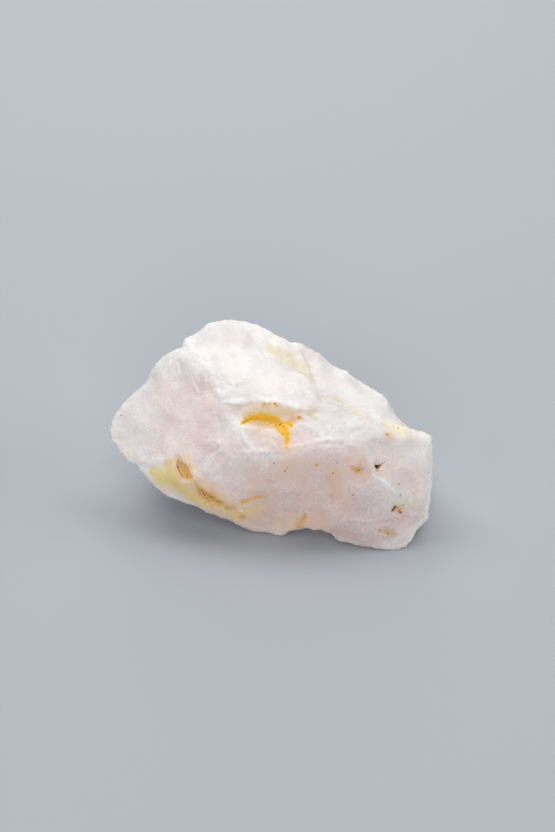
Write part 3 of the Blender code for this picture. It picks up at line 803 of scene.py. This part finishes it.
def fine_mesh():
    """The CAD solid with an even, fine skin and rounded facets."""
    rough_copy = bpy.data.objects.new("rough copy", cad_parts["calcite_chunk"].data.copy())
    bpy.context.scene.collection.objects.link(rough_copy)
    remesh = rough_copy.modifiers.new("fine skin", "REMESH")
    remesh.mode = "VOXEL"
    remesh.voxel_size = VOXEL * MM
    smooth = rough_copy.modifiers.new("rounding", "SMOOTH")
    smooth.factor = 0.5
    smooth.iterations = ROUNDING_PASSES
    graph = bpy.context.evaluated_depsgraph_get()
    mesh = bpy.data.meshes.new_from_object(rough_copy.evaluated_get(graph))
    bpy.data.objects.remove(rough_copy)
    return mesh


def tree_of(mesh):
    bm = bmesh.new()
    bm.from_mesh(mesh)
    tree = BVHTree.FromBMesh(bm)
    bm.free()
    return tree


def with_finer_marks(mesh, tree):
    marks = fine_points(tree)
    bm = bmesh.new()
    bm.from_mesh(mesh)
    refine(bm, marks, FINE_REACH)
    refine(bm, marks, FINEST_REACH)
    bmesh.ops.triangulate(bm, faces=bm.faces)
    bm.to_mesh(mesh)
    bm.free()


def ripples(places, tree):
    """Rings that spread from the blow that broke the front face."""
    centre = np.array(on_stone(tree, *RIPPLE_CENTRE)) / MM
    distance = np.linalg.norm(places - centre, axis=1)
    start, end = RIPPLE_RANGE
    fade_in, fade_out = RIPPLE_FADES
    fade = np.clip((distance - start) / fade_in, 0, 1) * np.clip((end - distance) / fade_out, 0, 1)
    phase = distance / RIPPLE_LENGTH + RIPPLE_WANDER * rough(places, BEND_SIZE, 60)
    return RIPPLE_HEIGHT * fade * np.sin(2 * np.pi * phase)


def step(places, tree, height, softness, reach, pixels):
    """A step along a line, half its height up on the left and half down on the right."""
    hits = [on_stone(tree, x, y) for x, y in pixels]
    points = np.array(hits) / MM
    out = np.zeros(len(places))
    near = np.all((places > points.min(0) - reach) & (places < points.max(0) + reach), axis=1)
    at = places[near]
    lengths = np.linalg.norm(np.diff(points, axis=0), axis=1)
    total = lengths.sum()
    best = np.full(len(at), 1e9)
    side = np.zeros(len(at))
    walked = np.zeros(len(at))
    for k, length in enumerate(lengths):
        direction = (points[k + 1] - points[k]) / length
        normal = np.array(tree.find_nearest((hits[k] + hits[k + 1]) / 2)[1])
        left = np.cross(normal, direction)
        along = np.clip((at - points[k]) @ direction, 0, length)
        away = at - points[k] - along[:, None] * direction
        distance = np.linalg.norm(away, axis=1)
        closer = distance < best
        best = np.where(closer, distance, best)
        side = np.where(closer, away @ left, side)
        walked = np.where(closer, (lengths[:k].sum() + along) / total, walked)
    fade = np.clip(1 - best / reach, 0, 1) * np.clip(np.minimum(walked, 1 - walked) * 8 + 0.15, 0, 1)
    out[near] = 0.5 * height * fade * np.tanh(side / softness)
    return out


def relief(skin, tree, fields):
    """How far each point moves along its normal, in millimetres."""
    p = skin.places
    bend = np.stack([rough(p, BEND_SIZE, seed) for seed in (11, 22, 33)], axis=1) * BEND_REACH
    waves = np.stack([rough(p, STEP_WAVE_SIZE, seed, 2) for seed in (12, 23, 34)], axis=1) * STEP_WAVES
    calm = np.clip(nearness(p, mark_lines(tree, CALM_MARKS)) * 2, 0, 1)
    frost = np.clip(fields["frost"] * 2, 0, 1)
    hidden = np.clip(2 * skin.normals() @ np.array(photo_rays()[1]), 0, 1)
    lively = np.clip(1 - 0.7 * calm + 0.5 * rough(p, 14, 90) + 0.5 * frost, 0.15, 1.5) + 0.6 * hidden
    height = SWELL_HEIGHT * rough(p, SWELL_SIZE, 40)
    for k, (size, amount) in enumerate(BOWLS):
        height += amount * lively * (bowls(p + bend, size, 50 + k) - 0.25)
    for k, (size, amount) in enumerate(PLATES):
        height += amount * lively * plates(p + bend, size, 60 + k)
    height += GRAIN_HEIGHT * rough(p, GRAIN_SIZE, 44, 2)
    height += ripples(p, tree)
    for amount, softness, reach, pixels in STEPS.values():
        height += step(p + waves, tree, amount, softness, reach, pixels)
    for amount, marks in LUMPS.values():
        lump = np.clip(nearness(p + waves, mark_lines(tree, {"lump": marks})) * 1.4, 0, 1)
        height += amount * lump * lump * (3 - 2 * lump)
    edge = np.clip(skin.standing_out(CRUMBLE_PASSES) / CRUMBLE_EDGE, 0, 1)
    height -= CRUMBLE_DEPTH * edge * np.clip(rough(p, CRUMBLE_SIZE, 46, 2) + 0.3, 0, 1)
    height -= PIT_DEPTH * fields["pit"]
    height -= CRACK_DEPTH * np.clip(fields["crack"], 0, 1)
    height -= POCKET_DEPTH * np.clip(fields["gold"] * 1.5, 0, 1)
    height += FROST_HEIGHT * frost * rough(p, FROST_SIZE, 48, 2)
    return height


def stone_fields(skin, tree):
    """How near each point is to each kind of mark, 0 to about 1."""
    kinds = {
        "gold": GOLD_MARKS,
        "halo": HALO_MARKS,
        "smudge": SMUDGE_MARKS,
        "rust": RUST_MARKS,
        "dark": DARK_MARKS,
        "speck": SPECK_MARKS,
        "white_crumbs_and_highlight": WHITE_CRUMB_AND_HIGHLIGHT_MARKS,
        "lime": LIME_MARKS,
        "lemon": LEMON_MARKS,
        "honey": HONEY_MARKS,
        "frost": FROST_AND_HIGHLIGHT_MARKS,
        "pit": {k: DARK_MARKS[k] for k in ("dark pit", "brown pit", "brown pit side")},
        "crack": {k: RUST_MARKS[k] for k in ("crack head", "crack", "crack foot")},
    }
    fields = {name: nearness(skin.places, mark_lines(tree, marks)) for name, marks in kinds.items()}
    for name, marks in HIDDEN_MARKS.items():
        fields[name] = np.maximum(fields[name], nearness(skin.places, hidden_lines(tree, marks)))
    hidden_pit = nearness(skin.places, hidden_lines(tree, HIDDEN_MARKS["dark"]))
    fields["pit"] = np.maximum(fields["pit"], hidden_pit)
    # Warm tint round the stains, with painted warm shade near the floor
    fields["warm_tint_and_shade"] = areas(skin.places, tree, WARM_TINT_AND_SHADE_AREAS)
    fields["blush"] = areas(skin.places, tree, BLUSH_AREAS)
    fields["blush"] += areas(skin.places, tree, HIDDEN_BLUSH, hidden_lines)
    # Painted shade where the stone should lie darker
    fields["grey"] = areas(skin.places, tree, PAINTED_SHADE_AREAS)
    return fields


def trimmed(places):
    """Places moved across the photo's view, so that the outline follows the photo's."""
    eye, forward, right, up = (np.array(v) for v in photo_rays())
    away = places * MM - eye
    depth = away @ forward
    x = PICTURE_WIDTH / 2 + PIXELS_PER_UNIT * (away @ right) / depth
    y = PICTURE_HEIGHT / 2 - PIXELS_PER_UNIT * (away @ up) / depth
    total = np.zeros(len(places))
    weights = np.full(len(places), 1e-6)
    for at_x, at_y, pixels in TRIMS:
        near = np.clip(1 - np.hypot(x - at_x, y - at_y) / TRIM_REACH, 0, 1)
        near = near * near * (3 - 2 * near)
        total += near * near * pixels
        weights += near
    outwards = np.stack([x - STONE_MIDDLE[0], STONE_MIDDLE[1] - y], axis=1)
    outwards /= np.linalg.norm(outwards, axis=1, keepdims=True) + 1e-6
    shift = (total / weights * depth / PIXELS_PER_UNIT / MM)[:, None]
    return places - shift * (outwards[:, :1] * right + outwards[:, 1:] * up)


def under(skin):
    """1 on the side that the stone rests on, and 0 where the photo can see it."""
    low = np.clip(1 - skin.places[:, 2] / UNDER_HEIGHT, 0, 1)
    return low * np.clip((-skin.normals()[:, 2] - UNDER_TILT) / 0.2, 0, 1)


def calcite_skin():
    mesh = fine_mesh()
    skin = Skin(mesh)
    skin.places = trimmed(skin.places)
    skin.store()
    tree = tree_of(mesh)
    with_finer_marks(mesh, tree)
    skin = Skin(mesh)
    fields = stone_fields(skin, tree)
    height = relief(skin, tree, fields)
    skin.places = skin.places + height[:, None] * skin.normals()
    skin.places[:, 2] = np.maximum(skin.places[:, 2], 0)
    skin.store()
    # Crumbled white with a painted highlight on edges that stand out
    edges = [share * np.clip(skin.standing_out(n) / out, 0, 1) for n, out, share in WHITE_EDGES]
    # Painted warm shade near the floor, added to the warm tint field
    low = np.clip(1 - skin.places[:, 2] / WARM_FOOT_HEIGHT, 0, 1)
    for side, end in zip((1, -1), WARM_FOOT):
        low *= np.clip(side * (skin.places[:, 0] - end) / WARM_FOOT_FADE, 0, 1)
    fields["warm_tint_and_shade"] = np.maximum(fields["warm_tint_and_shade"], WARM_FOOT_SHADE * low)
    for name in COLOUR_FIELDS:
        skin.label(name, fields[name])
    skin.label("edge", sum(edges))
    skin.label("under", under(skin))
    for face in mesh.polygons:
        face.use_smooth = True
    mesh.materials.clear()
    mesh.materials.append(calcite())
    return bpy.data.objects.new("calcite_skin", mesh)


def fill(tree, node, inputs):
    """The node, with each input linked or given its value."""
    for name, value in inputs.items():
        if isinstance(value, bpy.types.NodeSocket):
            tree.links.new(value, node.inputs[name])
        else:
            node.inputs[name].default_value = value
    return node


def put(tree, kind, inputs=(), **settings):
    """A new node with its settings, and with each input linked or given its value."""
    node = tree.nodes.new("ShaderNode" + kind)
    for name, value in settings.items():
        setattr(node, name, value)
    return fill(tree, node, dict(inputs))


def calc(tree, operation, a, b=0.0, clamp=False):
    return put(tree, "Math", {0: a, 1: b}, operation=operation, use_clamp=clamp).outputs[0]


def mix(tree, factor, a, b, blend="MIX"):
    node = put(tree, "Mix", {0: factor, 6: a, 7: b}, data_type="RGBA", blend_type=blend)
    return node.outputs[2]


def ramp(tree, value, low, high, out_low=0.0, out_high=1.0):
    inputs = {0: value, 1: low, 2: high, 3: out_low, 4: out_high}
    return put(tree, "MapRange", inputs, interpolation_type="SMOOTHSTEP").outputs[0]


def noise(tree, vector, size, detail=3.0, distortion=0.0):
    """Noise with bumps of that size in millimetres, 0 to 1."""
    inputs = {"Vector": vector, "Scale": 1 / size, "Detail": detail, "Distortion": distortion}
    return put(tree, "TexNoise", inputs).outputs["Fac"]


def new_group(name, inputs, outputs):
    """A node group with those sockets, and its input and output nodes."""
    group = bpy.data.node_groups.new(name, "ShaderNodeTree")
    for socket, kind in inputs.items():
        group.interface.new_socket(socket, in_out="INPUT", socket_type="NodeSocket" + kind)
    for socket, kind in outputs.items():
        group.interface.new_socket(socket, in_out="OUTPUT", socket_type="NodeSocket" + kind)
    return group, group.nodes.new("NodeGroupInput"), group.nodes.new("NodeGroupOutput")


def use(tree, group, inputs):
    """A node that uses a group."""
    node = tree.nodes.new("ShaderNodeGroup")
    node.node_tree = group
    return fill(tree, node, inputs)


def streaks(tree, position, direction):
    """Fine streaks along one direction of the crystal, in drifts, 0 to 0.65."""
    turn = Vector(direction).to_track_quat("Z", "Y").to_euler()
    along = put(
        tree,
        "Mapping",
        {"Vector": position, "Rotation": turn, "Scale": (1, 1, STREAK_STRETCH)},
        vector_type="TEXTURE",
    )
    lines = ramp(tree, noise(tree, along.outputs[0], 0.6, 3, 0.3), 0.5, 0.7, 0, 0.65)
    return calc(tree, "MULTIPLY", lines, ramp(tree, noise(tree, position, 7, 3), 0.4, 0.65, 0.25, 1))


def body_group():
    """Milky white and pink clouds, with fine pale streaks through them."""
    group, start, end = new_group(
        "Calcite body",
        {"Position": "Vector", "Blush": "Float", "Frost": "Float"},
        {"Color": "Color"},
    )
    position = start.outputs["Position"]
    clouds = ramp(group, noise(group, position, 22, 3, 0.4), 0.3, 0.7, 0.05, 0.3)
    patches = ramp(group, noise(group, position, 5, 4, 0.8), 0.3, 0.7, -0.07, 0.08)
    pink = calc(group, "ADD", calc(group, "ADD", clouds, patches), start.outputs["Blush"], clamp=True)
    color = mix(group, pink, WHITE, PINK)
    for direction in STREAK_DIRECTIONS:
        color = mix(group, streaks(group, position, direction), color, FROST)
    color = mix(group, start.outputs["Frost"], color, FROST)
    sugar = ramp(group, noise(group, position, 0.35, 2), 0.35, 0.65, 0.91, 1.05)
    group.links.new(mix(group, 1.0, color, sugar, "MULTIPLY"), end.inputs["Color"])
    return group


def stain_group():
    """A stain with a ragged border where its field passes the given edge."""
    group, start, end = new_group(
        "Stain",
        {
            "Position": "Vector",
            "Color": "Color",
            "Stain": "Color",
            "Field": "Float",
            "Edge": "Float",
            "Softness": "Float",
            "Grain": "Float",
            "Ragged": "Float",
            "Amount": "Float",
        },
        {"Color": "Color"},
    )
    inside = start.outputs
    scale = calc(group, "DIVIDE", 1.0, inside["Grain"])
    cloud = put(group, "TexNoise", {"Vector": inside["Position"], "Scale": scale, "Detail": 4.0})
    wander = calc(group, "SUBTRACT", cloud.outputs["Fac"], 0.5)
    field = calc(group, "ADD", inside["Field"], calc(group, "MULTIPLY", wander, inside["Ragged"]))
    low = calc(group, "SUBTRACT", inside["Edge"], inside["Softness"])
    high = calc(group, "ADD", inside["Edge"], inside["Softness"])
    mask = calc(group, "MULTIPLY", ramp(group, field, low, high), inside["Amount"])
    mask = calc(group, "MULTIPLY", mask, ramp(group, inside["Field"], 0.0, 0.15))
    group.links.new(mix(group, mask, inside["Color"], inside["Stain"]), end.inputs["Color"])
    return group


def speck_group():
    """Sparse round specks of one size."""
    group, start, end = new_group(
        "Specks",
        {"Position": "Vector", "Spacing": "Float", "Radius": "Float", "Share": "Float"},
        {"Mask": "Float"},
    )
    scale = calc(group, "DIVIDE", 1.0, start.outputs["Spacing"])
    dots = put(group, "TexVoronoi", {"Vector": start.outputs["Position"], "Scale": scale})
    radius = calc(group, "MULTIPLY", start.outputs["Radius"], scale)
    inside = calc(group, "SUBTRACT", 1.0, calc(group, "DIVIDE", dots.outputs["Distance"], radius))
    tint = put(group, "SeparateColor", {0: dots.outputs["Color"]}).outputs[0]
    chosen = calc(group, "LESS_THAN", tint, start.outputs["Share"])
    mask = calc(group, "MULTIPLY", calc(group, "MULTIPLY", inside, 3.0, clamp=True), chosen)
    group.links.new(mask, end.inputs["Mask"])
    return group


def attribute(tree, name):
    return put(tree, "Attribute", attribute_name=name).outputs["Fac"]


def calcite():
    material = bpy.data.materials.new("calcite")
    material.use_nodes = True
    tree = material.node_tree
    shader = tree.nodes["Principled BSDF"]
    shader.inputs["Subsurface Weight"].default_value = SCATTER_WEIGHT
    shader.inputs["Subsurface Radius"].default_value = SCATTER_RADIUS
    shader.inputs["Subsurface Scale"].default_value = SCATTER_SCALE * MM
    shader.inputs["IOR"].default_value = REFRACTION
    coordinates = put(tree, "TexCoord").outputs["Object"]
    position = put(tree, "VectorMath", {0: coordinates, "Scale": 1 / MM}, operation="SCALE").outputs[0]

    # Frost and the white edges, with their painted highlight, cover the body colour
    edge = attribute(tree, "edge")
    frost = attribute(tree, "frost")
    grit = noise(tree, position, 1.0, 4)
    frosted = calc(tree, "MULTIPLY", calc(tree, "ADD", frost, edge), ramp(tree, grit, 0.2, 0.7, 0.25, 1.0))
    frosted = calc(tree, "MULTIPLY", frosted, FROST_STRENGTH, clamp=True)
    inputs = {"Position": position, "Blush": attribute(tree, "blush"), "Frost": frosted}
    color = use(tree, body_group(), inputs).outputs["Color"]

    stain = stain_group()
    for name, stain_color, edge_at, softness, grain, ragged, amount in STAINS:
        node = use(
            tree,
            stain,
            {
                "Position": position,
                "Color": color,
                "Stain": stain_color,
                "Field": attribute(tree, name),
                "Edge": edge_at,
                "Softness": softness,
                "Grain": grain,
                "Ragged": ragged,
                "Amount": amount,
            },
        )
        color = node.outputs["Color"]
    # Random smoky patches, and the painted shade from the grey areas, darken the colour
    smoky = ramp(tree, noise(tree, position, 9, 4, 1.0), 0.5, 0.8, 0, 0.15)
    grey = calc(tree, "ADD", smoky, attribute(tree, "grey"), clamp=True)
    color = mix(tree, grey, color, SMOKE_AND_SHADE_GREY, "MULTIPLY")
    below = calc(tree, "MULTIPLY", attribute(tree, "under"), UNDER_STRENGTH)
    color = mix(tree, below, color, UNDER)
    specks = use(tree, speck_group(), {"Position": position, **LOOSE_SPECKS})
    spots = calc(tree, "MULTIPLY", specks.outputs["Mask"], LOOSE_SPECK_STRENGTH)
    color = mix(tree, spots, color, RUST)
    tree.links.new(color, shader.inputs["Base Color"])

    gloss = ramp(tree, noise(tree, position, 3.0, 4), 0.3, 0.7, *ROUGHNESS_RANGE)
    tree.links.new(gloss, shader.inputs["Roughness"])
    grain = noise(tree, position, BUMP_SIZE, 4)
    fine = put(tree, "Bump", {"Strength": 1.0, "Distance": BUMP_HEIGHT * MM, "Height": grain})
    tree.links.new(fine.outputs["Normal"], shader.inputs["Normal"])
    return material


def paper():
    material = bpy.data.materials.new("grey paper")
    material.use_nodes = True
    shader = material.node_tree.nodes["Principled BSDF"]
    shader.inputs["Base Color"].default_value = PAPER
    shader.inputs["Roughness"].default_value = 0.9
    shader.inputs["Specular IOR Level"].default_value = 0.2
    return material


def floor():
    bm = bmesh.new()
    bmesh.ops.create_grid(bm, x_segments=1, y_segments=1, size=FLOOR_HALF_WIDTH)
    mesh = bpy.data.meshes.new("floor")
    bm.to_mesh(mesh)
    bm.free()
    mesh.materials.append(paper())
    obj = bpy.data.objects.new("floor", mesh)
    bpy.context.scene.collection.objects.link(obj)


def aimed(obj, place, target):
    obj.location = place
    obj.rotation_mode = "QUATERNION"
    obj.rotation_quaternion = (Vector(target) - Vector(place)).to_track_quat("-Z", "Y")
    bpy.context.scene.collection.objects.link(obj)


def lamp(name, place, power):
    light = bpy.data.lights.new(name, "AREA")
    light.shape = "DISK"
    light.size = LAMP_SIZE
    light.energy = power
    aimed(bpy.data.objects.new(name, light), place, LAMP_AIM)


def light_and_camera():
    for name, (place, power) in LAMPS.items():
        lamp(name, place, power)
    world = bpy.data.worlds.new("room")
    world.use_nodes = True
    background = world.node_tree.nodes["Background"]
    background.inputs["Color"].default_value = ROOM_COLOUR
    background.inputs["Strength"].default_value = ROOM_STRENGTH
    scene = bpy.context.scene
    scene.world = world
    camera = bpy.data.cameras.new("camera")
    camera.sensor_width = SENSOR
    camera.lens = PIXELS_PER_UNIT / PICTURE_HEIGHT * SENSOR
    holder = bpy.data.objects.new("camera", camera)
    aimed(holder, photo_rays()[0], CAMERA_AIM)
    scene.camera = holder
    scene.view_settings.view_transform = "Standard"


def main():
    stone = calcite_skin()
    bpy.context.scene.collection.objects.link(stone)
    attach(stone, "root")
    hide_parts("calcite_chunk")
    floor()
    light_and_camera()


main()
